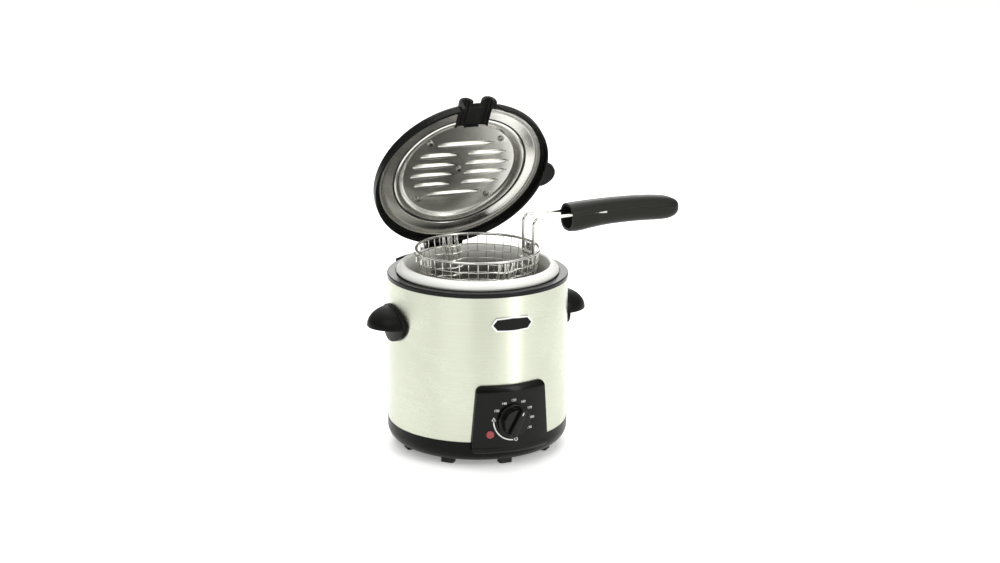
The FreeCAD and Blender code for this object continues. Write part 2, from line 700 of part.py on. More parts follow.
def grip_hollow():
    """Hollow mouth at the pot's end of the grip and the channels that grip the wires."""
    mouth = grip_section(GRIP_X0 - 1, RIM_Z + 62.2, RIM_Z + 38.8, GRIP_W - 5.0)
    end = grip_section(GRIP_X0 + 22, RIM_Z + 62.2, RIM_Z + 40.8, GRIP_W - 7.0)
    return Part.makeLoft([mouth, end], True, True)


def wire_room():
    """Channels in the grip that hold the two wires."""
    rods = []
    for y in (-WIRE_GAP / 2, WIRE_GAP / 2):
        rods.append(rod(HANDLE_WIRE / 2 + 0.12, (GRIP_X0 - 5, y, WIRE_Z), (GRIP_X0 + 41, y, WIRE_Z)))
    return rods[0].fuse(rods[1])


def grip_split(keep_top):
    """Upper or lower side of the parting face, which arches along the grip."""
    x0, x1 = GRIP_X0 - 20, GRIP_X1 + 20
    mid = (GRIP_X0 + GRIP_X1) / 2
    ends, peak = RIM_Z + 53.0, RIM_Z + 56.6
    z_far = RIM_Z + (120 if keep_top else 0)
    points = [(x0, ends - 1.0), ((mid, peak), (x1, ends)), (x1, z_far), (x0, z_far)]
    return prism_y(points, -40, 40)


def grip_halves():
    whole = grip_whole().cut(grip_hollow()).cut(wire_room())
    screw = cyl(1.7, RIM_Z + 30, RIM_Z + 61, GRIP_SCREW_X, 0)
    head = cyl(3.4, RIM_Z + 30, RIM_Z + 44.4, GRIP_SCREW_X, 0)
    whole = whole.cut(screw).cut(head)
    upper = whole.common(grip_split(True))
    lower = whole.common(moved(grip_split(False), 0, 0, -0.12))
    return handle_frame(upper), handle_frame(lower)


def grip_screw():
    shank = cyl(1.55, RIM_Z + 44.2, RIM_Z + 60.5, GRIP_SCREW_X, 0)
    head = cyl(3.1, RIM_Z + 41.6, RIM_Z + 44.3, GRIP_SCREW_X, 0)
    cross = box(GRIP_SCREW_X - 2, GRIP_SCREW_X + 2, -0.4, 0.4, RIM_Z + 41, RIM_Z + 42.4)
    return handle_frame(shank.fuse(head).cut(cross))


# ---- lid, drawn closed -------------------------------------------------------

def opened(shape):
    return turned(shape, -LID_OPEN, vec(0, HINGE_Y, HINGE_Z), vec(1, 0, 0))


def hood(x, grow=0.0):
    """Arched ridge over one handle wire, running in from the front edge."""
    half = 8.2 + grow
    top = RIM_Z + 21.4 + grow
    spring = top - half * 0.9
    return prism_y([
        (x - half, LID_LOW), (x - half, spring), ((x, top), (x + half, spring)), (x + half, LID_LOW),
    ], -95.6 - grow, -66.0)


def gate_void():
    """Room for the wires through the front edge, with a lead-in on the side they come from."""
    slot = prism_y([
        (-16.2, LID_LOW - 2), (-16.2, RIM_Z + 15.2), (16.2, RIM_Z + 15.2),
        (16.2, RIM_Z + 14.4), (29.0, LID_LOW - 0.4), (29.0, LID_LOW - 2),
    ], -110, -80)
    for side in (-1, 1):
        x = side * WIRE_GAP / 2
        slot = slot.fuse(prism_y([
            (x - 4.2, RIM_Z + 10), (x - 4.2, RIM_Z + 16.2), ((x, RIM_Z + 18.8), (x + 4.2, RIM_Z + 16.2)),
            (x + 4.2, RIM_Z + 10),
        ], -110, -60))
    return slot


def lid_shell():
    """Moulded dome with a hanging skirt; the front has two hoods over the handle wires."""
    z = RIM_Z
    shell = revolve([
        (LID_R - 2.2, LID_LOW), (LID_R - 0.4, LID_LOW), (LID_R, LID_LOW + 0.4), (LID_R, z + 12.0),
        ((92.6, z + 15.2), (89.4, z + 17.0)), dome(89.4, z + 17.0, LID_TOP, False),
        (0, LID_TOP - 2.4), dome(PAN_R + 0.2, z + 15.2, LID_TOP - 2.4),
        (PAN_R + 0.2, z + 12.5), (LID_R - 2.2, z + 11.4),
    ])
    hoods = hood(-WIRE_GAP / 2).fuse(hood(WIRE_GAP / 2))
    inside = revolve([
        (0, 0), (PAN_R + 0.2, 0), (PAN_R + 0.2, z + 15.2),
        dome(PAN_R + 0.2, z + 15.2, LID_TOP - 2.4, False),
    ])
    ridge = hoods.cut(inside).cut(cyl(LID_R - 2.2, z - 5, z + 11.4))
    shell = shell.fuse(ridge)
    shell = shell.cut(gate_void())
    hinge_room = rod(6.4, (-21.2, HINGE_Y, HINGE_Z), (21.2, HINGE_Y, HINGE_Z))
    shell = shell.cut(hinge_room)
    for i in range(-2, 3):
        half = 17.0 - 2.2 * abs(i)
        slot = prism_z_slot(0, 34.0 + i * 8.0, half, 1.5)
        shell = shell.cut(slot)
    return shell.removeSplitter()


def prism_z_slot(x, y, half, r, z0=RIM_Z, z1=RIM_Z + 60):
    """Upright prism of a slot along X with round ends."""
    body = box(x - half, x + half, y - r, y + r, z0, z1)
    return body.fuse(cyl(r, z0, z1, x - half, y)).fuse(cyl(r, z0, z1, x + half, y))


def hinge_knuckle():
    """Barrel on the lid that turns on the pin, with the strap that is screwed under the dome."""
    barrel = rod(5.0, (-13.6, HINGE_Y, HINGE_Z), (13.6, HINGE_Y, HINGE_Z))
    strap = prism_x([
        (HINGE_Y - 3.0, HINGE_Z + 0.0), (HINGE_Y - 1.0, HINGE_Z + 4.9), (89.5, RIM_Z + 20.8),
        (76.0, RIM_Z + 25.6), (74.5, RIM_Z + 22.8), (88.5, RIM_Z + 17.4), (92.0, RIM_Z + 12.0),
    ], -12.0, 12.0)
    below = revolve([
        (0, 0), (LID_R + 0.1, 0), (LID_R + 0.1, RIM_Z + 12.1),
        ((92.75, RIM_Z + 15.3), (89.5, RIM_Z + 17.15)), dome(89.5, RIM_Z + 17.15, LID_TOP + 0.2, False),
    ])
    room = rod(6.4, (-21.2, HINGE_Y, HINGE_Z), (21.2, HINGE_Y, HINGE_Z))
    strap = strap.cut(below.cut(room))
    knuckle = barrel.fuse(strap)
    return knuckle.cut(rod(2.0, (-30, HINGE_Y, HINGE_Z), (30, HINGE_Y, HINGE_Z)))


def lid_pan():
    """Steel liner: a shaped annulus, with a raised floor behind the filter."""
    z, t = RIM_Z, SHEET
    pan = revolve([
        (PAN_R, z + 12.6), ((84.6, z + 14.2), (81.0, z + 14.8)), (72.6, z + 14.8), (71.9, z + 15.4),
        (62.4, z + 22.3), (0, z + 22.3), (0, z + 22.3 + t), (62.6, z + 22.3 + t),
        (72.3, z + 15.9), (72.9, z + 14.8 + t), (81.0, z + 14.8 + t),
        ((84.9, z + 14.7), (PAN_R, z + 13.3)),
    ])
    pan = pan.cut(box(-GATE_HALF, GATE_HALF, -100, -61.0, z, z + 40))
    for x, y in SCREWS:
        pan = pan.cut(cyl(1.8, z, z + 40, x, y))
    return pan


def handle_gate():
    """Black insert that lines the gate in the pan: a roof and three walls round the wires."""
    z = RIM_Z
    w = GATE_HALF - 0.2
    block = box(-w, w, -91.4, -61.3, z + 14.2, z + 20.4)
    limit = revolve([
        (0, 0), (PAN_R + 0.1, 0), (PAN_R + 0.1, z + 15.1), dome(PAN_R + 0.1, z + 15.1, LID_TOP - 2.6, False),
    ])
    block = block.common(limit)
    hollow = box(-w + 1.6, w - 0.5, -100, -63.0, z, z + 15.4)
    block = block.cut(hollow)
    for side in (-1, 1):
        x = side * WIRE_GAP / 2
        tunnel = prism_y([
            (x - 4.2, z + 10), (x - 4.2, z + 16.2), ((x, z + 18.8), (x + 4.2, z + 16.2)),
            (x + 4.2, z + 10),
        ], -100, -60.0)
        block = block.cut(tunnel)
    return block


def filter_cover():
    """Louvred steel cover: a flat plate inside a rolled rim, held by five screws. A small
    drain hole stands beyond the end of each louvre."""
    z, t = RIM_Z, SHEET
    cover = revolve([
        (0, PLATE_Z), (PLATE_R, PLATE_Z), (62.4, z + 17.2), ((66.0, z + 14.9), (69.0, z + 14.5)),
        (70.7, z + 15.2), (70.4, z + 15.8), ((66.4, z + 15.6), (63.0, z + 17.6)),
        (60.8, PLATE_Z + t), (0, PLATE_Z + t),
    ])
    cover = cover.cut(box(-GATE_HALF, GATE_HALF, -100, -61.0, z, z + 40))
    for y, start, end in louvres():
        half = (end - start) / 2 - LOUVRE_SLOT_R
        cover = cover.cut(prism_z_slot((start + end) / 2, y, half, LOUVRE_SLOT_R))
        cover = cover.cut(cyl(0.8, z, z + 40, end + 1.7, y))
    for x, y in SCREWS:
        cover = cover.cut(cyl(1.9, z, z + 40, x, y))
    return cover


def louvres():
    """(y, start, end) of each louvre: the outer two rows are whole, the inner four split."""
    rows = list(WHOLE_LOUVRES)
    for y, inner, outer in SPLIT_LOUVRES:
        rows.append((y, inner, outer))
        rows.append((y, -outer, -inner))
    return rows


def filter_pad():
    """Carbon felt disc between the cover and the pan's floor."""
    pad = cyl(56.0, PLATE_Z + SHEET + 0.1, RIM_Z + 22.2)
    for x, y in SCREWS:
        pad = pad.cut(cyl(2.6, RIM_Z, RIM_Z + 40, x, y))
    return pad


def lid_seal():
    """Rubber ring between the cover's rolled rim and the pan."""
    seal = tube(71.75, 70.9, RIM_Z + 14.6, RIM_Z + 15.3)
    return seal.cut(box(-GATE_HALF, GATE_HALF, -100, -60, RIM_Z, RIM_Z + 40))


def cover_screws():
    """Five cross-head screws through the cover, the pad and the pan."""
    solids = []
    for x, y in SCREWS:
        head = cyl(3.2, PLATE_Z - 1.9, PLATE_Z - 0.02, x, y)
        head = fillet(head, 0.9, lambda e: e.BoundBox.ZMax < PLATE_Z - 1)
        shank = cyl(1.7, PLATE_Z - 0.5, RIM_Z + 23.0, x, y)
        cross = box(x - 1.9, x + 1.9, y - 0.4, y + 0.4, PLATE_Z - 3, PLATE_Z - 1.0)
        cross = cross.fuse(box(x - 0.4, x + 0.4, y - 1.9, y + 1.9, PLATE_Z - 3, PLATE_Z - 1.0))
        solids.append(head.fuse(shank).cut(cross))
    return group(solids)


def lift_tab():
    """Thumb tab at the lid's right-hand edge, a little behind the middle."""
    root = LID_R - 1.2
    tab = prism_z_outline([
        (LID_R - 4, -15.5), (root, -15.5), ((105.4, 0.0), (root, 15.5)), (LID_R - 4, 15.5),
    ], RIM_Z + 5.4, RIM_Z + 9.0)
    return moved(tab, 0, 6.5, 0).cut(cyl(LID_R + 0.15, RIM_Z - 5, RIM_Z + 30))


def prism_z_outline(points, z0, z1):
    return outline(points, lambda x, y: vec(x, y, z0)).extrude(vec(0, 0, z1 - z0))


# ---- knob --------------------------------------------------------------------

def knob():
    """Round knob with a blade across it, drawn with the pointer straight up."""
    y0 = KNOB_BACK
    y1 = KNOB_BACK - KNOB_SKIRT
    y2 = KNOB_BACK - KNOB_DEPTH
    skirt = rod(KNOB_R, (0, y0, KNOB_Z), (0, y1, KNOB_Z))
    skirt = fillet(skirt, 1.0, lambda e: abs(e.CenterOfMass.y - y1) < 0.1)
    drum = Part.makeCone(14.6, 13.0, 6.4, vec(0, y1, KNOB_Z), vec(0, -1, 0))
    blade = prism_y([
        (-4.4, KNOB_Z - 13.4), ((0, KNOB_Z - 15.2), (4.4, KNOB_Z - 13.4)), (3.0, KNOB_Z + 14.0),
        ((0, KNOB_Z + 15.8), (-3.0, KNOB_Z + 14.0)),
    ], y1, y2)
    blade = fillet(blade, 1.4, lambda e: abs(e.CenterOfMass.y - y2) < 0.1)
    body = skirt.fuse(drum).fuse(blade)
    bore = rod(3.1, (0, y0 + 1, KNOB_Z), (0, y0 - 8.0, KNOB_Z))
    body = body.cut(bore)
    return turned(body, POINTER_DEG, vec(0, 0, KNOB_Z), vec(0, 1, 0))


def knob_pointer():
    """White line let into the top of the blade."""
    y2 = KNOB_BACK - KNOB_DEPTH
    line = box(-0.4, 0.4, y2 - 0.15, y2 - 0.02, KNOB_Z + 9.0, KNOB_Z + 12.6)
    return turned(line, POINTER_DEG, vec(0, 0, KNOB_Z), vec(0, 1, 0))


def thermostat_shaft():
    return rod(3.0, (0, -77.0, KNOB_Z), (0, KNOB_BACK - 7.6, KNOB_Z))


# ---- everything --------------------------------------------------------------

def build():
    upper, lower = grip_halves()
    NODES.update({
        "outer_wrap": outer_wrap(), "base_housing": base_housing(), "bottom_cover": bottom_cover(),
        "feet": feet(), "base_screws": base_screws(), "top_ring": top_ring(),
        "rear_housing": rear_housing(), "hinge_pin": hinge_pin(),
        "carry_handle_left": carry_handle(-1), "carry_handle_right": carry_handle(1),
        "handle_screws": handle_screws(), "control_panel": control_panel(),
        "dial_marks": dial_marks(), "indicator_lens": indicator_lens(),
        "indicator_lamp": indicator_lamp(), "badge_frame": badge_frame(), "badge_face": badge_face(),
        "heater_plate": heater_plate(), "heating_element": heating_element(),
        "heat_shield": heat_shield(), "heater_posts": heater_posts(), "shield_posts": shield_posts(),
        "thermostat_body": thermostat_body(), "thermostat_bracket": thermostat_bracket(),
        "sensor_bulb": sensor_bulb(), "thermal_fuse": thermal_fuse(),
        "terminal_block": terminal_block(), "inlet_socket": inlet_socket(), "inlet_pins": inlet_pins(),
        "pot": pot(),
        "basket_cup": basket_cup(), "basket_rim": basket_rim(), "rest_hook": rest_hook(),
        "handle_bracket": handle_bracket(), "handle_wires": handle_wires(),
        "grip_upper": upper, "grip_lower": lower, "grip_screw": grip_screw(),
        "lid_shell": opened(lid_shell()), "hinge_knuckle": opened(hinge_knuckle()),
        "lid_pan": opened(lid_pan()), "handle_gate": opened(handle_gate()),
        "filter_cover": opened(filter_cover()), "filter_pad": opened(filter_pad()),
        "lid_seal": opened(lid_seal()), "cover_screws": opened(cover_screws()),
        "lift_tab": opened(lift_tab()),
        "knob": knob(), "knob_pointer": knob_pointer(), "thermostat_shaft": thermostat_shaft(),
    })
    os.makedirs("parts", exist_ok=True)
    for name, shape in NODES.items():
        bad = "" if shape.isValid() and shape.Volume > 0 else "  INVALID"
        print(f"{name:20s} solids {len(shape.Solids):2d}  volume {shape.Volume / 1000:9.3f} cm3{bad}")
        shape.exportStep(f"parts/{name}.step")


build()
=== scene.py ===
import bmesh
import bpy
import json
import math
from mathutils import Matrix, Vector


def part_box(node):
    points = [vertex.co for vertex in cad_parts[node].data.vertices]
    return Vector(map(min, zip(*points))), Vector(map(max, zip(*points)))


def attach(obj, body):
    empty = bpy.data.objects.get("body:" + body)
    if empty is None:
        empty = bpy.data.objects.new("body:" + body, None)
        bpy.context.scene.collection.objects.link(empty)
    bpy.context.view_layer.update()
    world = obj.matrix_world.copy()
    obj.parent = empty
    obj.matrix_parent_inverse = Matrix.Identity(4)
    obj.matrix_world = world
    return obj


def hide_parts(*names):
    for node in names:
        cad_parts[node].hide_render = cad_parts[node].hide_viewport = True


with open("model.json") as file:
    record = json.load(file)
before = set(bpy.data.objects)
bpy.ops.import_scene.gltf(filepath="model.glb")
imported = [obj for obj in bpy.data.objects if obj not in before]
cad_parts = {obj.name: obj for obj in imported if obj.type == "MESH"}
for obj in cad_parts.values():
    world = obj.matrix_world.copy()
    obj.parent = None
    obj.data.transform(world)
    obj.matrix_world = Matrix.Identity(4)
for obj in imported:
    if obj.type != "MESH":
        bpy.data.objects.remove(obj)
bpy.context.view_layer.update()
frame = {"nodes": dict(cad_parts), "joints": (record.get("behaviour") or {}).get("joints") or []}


# ---- The studio ----------------------------------------------------------------
# A pale table under soft boxes, with the camera a little above the lid's height, to the
# left of the control panel. The table glows a little, so that the shadows stay soft.
# The fryer stands with its axis on the origin.

TABLE_SIZE = 9.0
TABLE_WHITE = (0.93, 0.93, 0.925, 1)
TABLE_GLOW = 0.32
SKY_WHITE = (0.95, 0.95, 0.93)
SKY_GREY = (0.34, 0.345, 0.31)
ROOM_BANDS = ((0.0, 0.55), (0.10, 0.35), (0.24, 0.55), (0.29, 1.9), (0.37, 1.9), (0.44, 0.55),
              (0.55, 0.8), (0.72, 1.3), (0.86, 0.6), (1.0, 0.55))
CAMERA_AT = Vector((-0.8058, -1.9955, 0.7527))
CAMERA_TOWARDS = Vector((0.37097, 0.89119, -0.26111))
CAMERA_ROLL = 0.0058
CAMERA_LENS_MM = 78.25
CAMERA_SENSOR_MM = 36.0


def add_node(tree, kind, inputs=None, **settings):
    """Adds a shader node; an input is a value, or the socket that feeds it."""
    made = tree.nodes.new("ShaderNode" + kind)
    for name, value in settings.items():
        setattr(made, name, value)
    for socket, value in (inputs or {}).items():
        if isinstance(value, bpy.types.NodeSocket):
            tree.links.new(value, made.inputs[socket])
        else:
            made.inputs[socket].default_value = value
    return made


def set_ramp(ramp_node, stops):
    """Gives a colour ramp its (position, colour) stops."""
    stops_there = ramp_node.color_ramp.elements
    while len(stops_there) < len(stops):
        stops_there.new(0.5)
    for stop, (position, colour) in zip(stops_there, stops):
        stop.position = position
        stop.color = (*colour[:3], 1)


def lay_table():
    bm = bmesh.new()
    bmesh.ops.create_grid(bm, x_segments=4, y_segments=4, size=TABLE_SIZE)
    mesh = bpy.data.meshes.new("table")
    bm.to_mesh(mesh)
    bm.free()
    table = bpy.data.objects.new("table", mesh)
    bpy.context.scene.collection.objects.link(table)
    paint = bpy.data.materials.new("table_white")
    paint.use_nodes = True
    tree = paint.node_tree
    shader = tree.nodes["Principled BSDF"]
    shader.inputs["Roughness"].default_value = 0.6
    shader.inputs["Emission Strength"].default_value = TABLE_GLOW
    place = add_node(tree, "TexCoord").outputs["Object"]
    mottle = add_node(tree, "TexNoise", {"Vector": place, "Scale": 3.0, "Detail": 4.0})
    shade = add_node(tree, "ValToRGB", {"Fac": mottle.outputs["Fac"]})
    set_ramp(shade, [(0.3, [0.985 * c for c in TABLE_WHITE]), (0.7, TABLE_WHITE)])
    tree.links.new(shade.outputs["Color"], shader.inputs["Base Color"])
    tree.links.new(shade.outputs["Color"], shader.inputs["Emission Color"])
    mesh.materials.append(paint)


def hang_sky():
    """White to the eye. In reflections it is bright above, and round the horizon the room's
    walls and soft boxes stand as lighter and darker bands."""
    world = bpy.data.worlds.new("studio")
    bpy.context.scene.world = world
    world.use_nodes = True
    tree = world.node_tree
    tree.nodes.clear()
    way = add_node(tree, "TexCoord").outputs["Generated"]
    parts = add_node(tree, "SeparateXYZ", {"Vector": way})
    fade = add_node(tree, "ValToRGB", {"Fac": parts.outputs["Z"]})
    set_ramp(fade, [(0.0, SKY_GREY), (0.25, SKY_GREY), (0.6, SKY_WHITE)])
    turn = add_node(tree, "Math", {0: parts.outputs["Y"], 1: parts.outputs["X"]}, operation="ARCTAN2")
    share = add_node(tree, "MapRange", {"Value": turn.outputs[0], "From Min": -math.pi,
                                        "From Max": math.pi})
    band = add_node(tree, "ValToRGB", {"Fac": share.outputs[0]})
    set_ramp(band, [(at, (level / 2, level / 2, level / 2)) for at, level in ROOM_BANDS])
    level = add_node(tree, "Math", {0: band.outputs["Color"], 1: 2.0}, operation="MULTIPLY")
    lit = add_node(tree, "Background", {"Color": fade.outputs["Color"], "Strength": level.outputs[0]})
    seen = add_node(tree, "Background", {"Color": (1, 1, 1, 1), "Strength": 1.0})
    to_eye = add_node(tree, "LightPath").outputs["Is Camera Ray"]
    both = add_node(tree, "MixShader", {0: to_eye, 1: lit.outputs[0], 2: seen.outputs[0]})
    out = add_node(tree, "OutputWorld")
    tree.links.new(both.outputs[0], out.inputs["Surface"])


def hang_soft_box(name, at, towards, size, watts):
    lamp = bpy.data.lights.new(name, "AREA")
    lamp.shape = "RECTANGLE"
    lamp.size, lamp.size_y = size
    lamp.energy = watts
    holder = bpy.data.objects.new(name, lamp)
    holder.location = at
    turn = (Vector(towards) - Vector(at)).to_track_quat("-Z", "Y")
    holder.rotation_euler = turn.to_euler()
    holder.visible_camera = False
    bpy.context.scene.collection.objects.link(holder)


def place_camera():
    lens = bpy.data.cameras.new("camera")
    lens.lens = CAMERA_LENS_MM
    lens.sensor_width = CAMERA_SENSOR_MM
    lens.clip_end = 50.0
    camera = bpy.data.objects.new("camera", lens)
    turn = CAMERA_TOWARDS.to_track_quat("-Z", "Y").to_matrix() @ Matrix.Rotation(CAMERA_ROLL, 3, "Z")
    camera.matrix_world = Matrix.Translation(CAMERA_AT) @ turn.to_4x4()
    bpy.context.scene.collection.objects.link(camera)
    bpy.context.scene.camera = camera


lay_table()
hang_sky()
hang_soft_box("key", (-1.5, -1.2, 1.9), (0, 0, 0.1), (1.6, 1.6), 20)
hang_soft_box("fill", (0.9, -1.9, 0.9), (0, 0, 0.10), (0.5, 1.5), 9)
hang_soft_box("top", (0.2, 0.6, 2.1), (0, 0, 0.1), (2.2, 2.0), 28)
hang_soft_box("back", (0.8, 1.9, 1.0), (0, 0, 0.15), (1.4, 0.9), 9)
place_camera()
bpy.context.scene.view_settings.view_transform = "Standard"


# ---- Steel wrap ----------------------------------------------------------------
# One sheet of brushed stainless steel, 0.6 mm thick, rolled round and seamed at the back.
# The belt that brushed it ran along the sheet, so its fine lines go round the body.

STEEL = (0.65, 0.675, 0.565, 1)
STEEL_DULL = (0.59, 0.615, 0.515, 1)


def shader_group(name, inputs, outputs):
    """An empty node group with its sockets; inputs and outputs are (name, kind, default)."""
    group = bpy.data.node_groups.new(name, "ShaderNodeTree")
    for way, sockets in (("INPUT", inputs), ("OUTPUT", outputs)):
        for label, kind, default in sockets:
            socket = group.interface.new_socket(label, in_out=way, socket_type="NodeSocket" + kind)
            if default is not None:
                socket.default_value = default
    given = group.nodes.new("NodeGroupInput").outputs
    asked = group.nodes.new("NodeGroupOutput").inputs
    return group, given, asked


def make_brushing():
    """Fine parallel lines with a few deeper ones. The vector is drawn out along the lines."""
    group, given, asked = shader_group(
        "brushed_lines",
        [("Vector", "Vector", None), ("Lines", "Float", 1.0), ("Depth", "Float", 1.0)],
        [("Shade", "Float", None), ("Height", "Float", None)])
    fine = add_node(group, "TexNoise", {"Vector": given["Vector"], "Scale": given["Lines"],
                                        "Detail": 6.0, "Roughness": 0.7})
    third = add_node(group, "Math", {0: given["Lines"], 1: 0.23}, operation="MULTIPLY")
    deep = add_node(group, "TexNoise", {"Vector": given["Vector"], "Scale": third.outputs[0],
                                        "Detail": 2.0})
    both = add_node(group, "Math", {0: fine.outputs["Fac"], 1: deep.outputs["Fac"]}, operation="ADD")
    shade = add_node(group, "MapRange", {"Value": both.outputs[0], "From Min": 0.7, "From Max": 1.3})
    height = add_node(group, "Math", {0: shade.outputs[0], 1: given["Depth"]}, operation="MULTIPLY")
    group.links.new(shade.outputs[0], asked["Shade"])
    group.links.new(height.outputs[0], asked["Height"])
    return group


def make_edge_rub():
    """Where handling has rubbed an edge: 1 on a sharp edge, 0 on a flat, broken up by noise."""
    group, given, asked = shader_group(
        "edge_rub", [("Vector", "Vector", None), ("Width", "Float", 0.0006), ("Amount", "Float", 1.0)],
        [("Mask", "Float", None)])
    soft = add_node(group, "Bevel", {"Radius": given["Width"]}, samples=4)
    true = add_node(group, "NewGeometry").outputs["Normal"]
    same = add_node(group, "VectorMath", {0: soft.outputs[0], 1: true}, operation="DOT_PRODUCT")
    bend = add_node(group, "MapRange", {"Value": same.outputs["Value"], "From Min": 0.995,
                                        "From Max": 0.85})
    patchy = add_node(group, "TexNoise", {"Vector": given["Vector"], "Scale": 220.0, "Detail": 3.0})
    worn = add_node(group, "Math", {0: bend.outputs[0], 1: patchy.outputs["Fac"]}, operation="MULTIPLY")
    mask = add_node(group, "Math", {0: worn.outputs[0], 1: given["Amount"]}, operation="MULTIPLY",
                    use_clamp=True)
    group.links.new(mask.outputs[0], asked["Mask"])
    return group


def make_smudges():
    """Faint uneven film, as left by wiping: a slow change over the surface, from 0 to 1."""
    group, given, asked = shader_group(
        "wiped_film", [("Vector", "Vector", None), ("Scale", "Float", 30.0)], [("Film", "Float", None)])
    broad = add_node(group, "TexNoise", {"Vector": given["Vector"], "Scale": given["Scale"],
                                         "Detail": 5.0, "Roughness": 0.62, "Distortion": 0.6})
    film = add_node(group, "MapRange", {"Value": broad.outputs["Fac"], "From Min": 0.35,
                                        "From Max": 0.7})
    group.links.new(film.outputs[0], asked["Film"])
    return group


BRUSHING = make_brushing()
EDGE_RUB = make_edge_rub()
SMUDGES = make_smudges()


def use_group(tree, group, **values):
    """Places a node group; the names' underscores stand for spaces."""
    made = tree.nodes.new("ShaderNodeGroup")
    made.node_tree = group
    for name, value in values.items():
        socket = made.inputs[name.replace("_", " ")]
        if isinstance(value, bpy.types.NodeSocket):
            tree.links.new(value, socket)
        else:
            socket.default_value = value
    return made


def new_finish(name, **plain):
    """A material, its tree, its shader and the piece's own coordinates; plain sets shader sockets."""
    finish = bpy.data.materials.new(name)
    finish.use_nodes = True
    tree = finish.node_tree
    shader = tree.nodes["Principled BSDF"]
    for socket, value in plain.items():
        shader.inputs[socket.replace("_", " ")].default_value = value
    return finish, tree, shader, add_node(tree, "TexCoord").outputs["Object"]


def feed(tree, shader, **sources):
    for socket, source in sources.items():
        tree.links.new(source, shader.inputs[socket.replace("_", " ")])


def between(tree, mask, low, high):
    """Mixes two colours by a mask."""
    mix = add_node(tree, "Mix", {"Factor": mask}, data_type="RGBA")
    mix.inputs["A"].default_value = low
    mix.inputs["B"].default_value = high
    return mix.outputs["Result"]


def value_between(tree, mask, low, high):
    return add_node(tree, "MapRange", {"Value": mask, "To Min": low, "To Max": high}).outputs[0]


def raised(tree, height, distance, strength):
    """A bump from a height, in metres at full height."""
    inputs = {"Height": height, "Distance": distance, "Strength": strength}
    return add_node(tree, "Bump", inputs).outputs[0]


def brushed_steel():
    """Lines round the body: about 80 mm long and a quarter of a millimetre apart."""
    finish, tree, shader, place = new_finish("brushed_steel", Metallic=1.0, Anisotropic=0.95,
                                             Anisotropic_Rotation=0.25)
    drawn = add_node(tree, "Mapping", {"Vector": place, "Scale": (0.003, 0.003, 1.0)})
    lines = use_group(tree, BRUSHING, Vector=drawn.outputs[0], Lines=4200.0, Depth=1.0)
    film = use_group(tree, SMUDGES, Vector=place, Scale=14.0)
    rub = use_group(tree, EDGE_RUB, Vector=place, Width=0.0005, Amount=0.7)
    tone = between(tree, lines.outputs["Shade"], STEEL_DULL, STEEL)
    tone = add_node(tree, "Mix", {"Factor": rub.outputs["Mask"], "A": tone}, data_type="RGBA")
    tone.inputs["B"].default_value = (0.85, 0.84, 0.8, 1)
    wiped = value_between(tree, film.outputs["Film"], 0.27, 0.33)
    grained = add_node(tree, "MapRange", {"Value": lines.outputs["Shade"], "To Min": -0.04,
                                          "To Max": 0.04}).outputs[0]
    rough = add_node(tree, "Math", {0: wiped, 1: grained}, operation="ADD").outputs[0]
    round_body = add_node(tree, "Tangent", direction_type="RADIAL", axis="Z").outputs[0]
    feed(tree, shader, Base_Color=tone.outputs["Result"], Roughness=rough, Tangent=round_body,
         Normal=raised(tree, lines.outputs["Height"], 0.0000018, 0.25))
    return finish


def give(finish, *names):
    """Gives CAD nodes their finish."""
    for name in names:
        frame["nodes"][name].material_slots[0].material = finish


give(brushed_steel(), "outer_wrap")


# ---- Plastic base, top ring and rear housing -----------------------------------
# Black moulded plastic with a fine even grain from the mould. The base tub closes the
# wrap from below, the ring caps it, and the rear housing carries the hinge.

BLACK = (0.0030, 0.0032, 0.0028, 1)
BLACK_WORN = (0.028, 0.029, 0.026, 1)


def make_moulded_grain():
    """Fine spark-eroded mould texture, as a height."""
    group, given, asked = shader_group(
        "moulded_grain", [("Vector", "Vector", None), ("Grain", "Float", 1800.0)],
        [("Height", "Float", None)])
    fine = add_node(group, "TexNoise", {"Vector": given["Vector"], "Scale": given["Grain"],
                                        "Detail": 3.0, "Roughness": 0.6})
    cells = add_node(group, "TexVoronoi", {"Vector": given["Vector"], "Scale": given["Grain"]},
                     feature="SMOOTH_F1")
    both = add_node(group, "Math", {0: fine.outputs["Fac"], 1: cells.outputs["Distance"]},
                    operation="ADD")
    height = add_node(group, "MapRange", {"Value": both.outputs[0], "From Min": 0.4, "From Max": 1.4})
    group.links.new(height.outputs[0], asked["Height"])
    return group


MOULDED_GRAIN = make_moulded_grain()


def moulded_plastic(name, colour, worn, rough, grain=1800.0, depth=0.000012, coat=0.0, rub_width=0.0006):
    """Black plastic: grained, slightly greyer where it is rubbed, with an uneven film on it."""
    finish, tree, shader, place = new_finish(name, Coat_Weight=coat, Coat_Roughness=0.12,
                                             Specular_IOR_Level=0.11)
    grain_lines = use_group(tree, MOULDED_GRAIN, Vector=place, Grain=grain)
    film = use_group(tree, SMUDGES, Vector=place, Scale=26.0)
    rub = use_group(tree, EDGE_RUB, Vector=place, Width=rub_width, Amount=1.0)
    wiped = value_between(tree, film.outputs["Film"], rough - 0.035, rough + 0.05)
    polished = add_node(tree, "Mix", {"Factor": rub.outputs["Mask"], "A": wiped}, data_type="FLOAT")
    polished.inputs["B"].default_value = rough * 0.7
    feed(tree, shader, Base_Color=between(tree, rub.outputs["Mask"], colour, worn),
         Roughness=polished.outputs["Result"],
         Normal=raised(tree, grain_lines.outputs["Height"], depth, 0.5))
    return finish


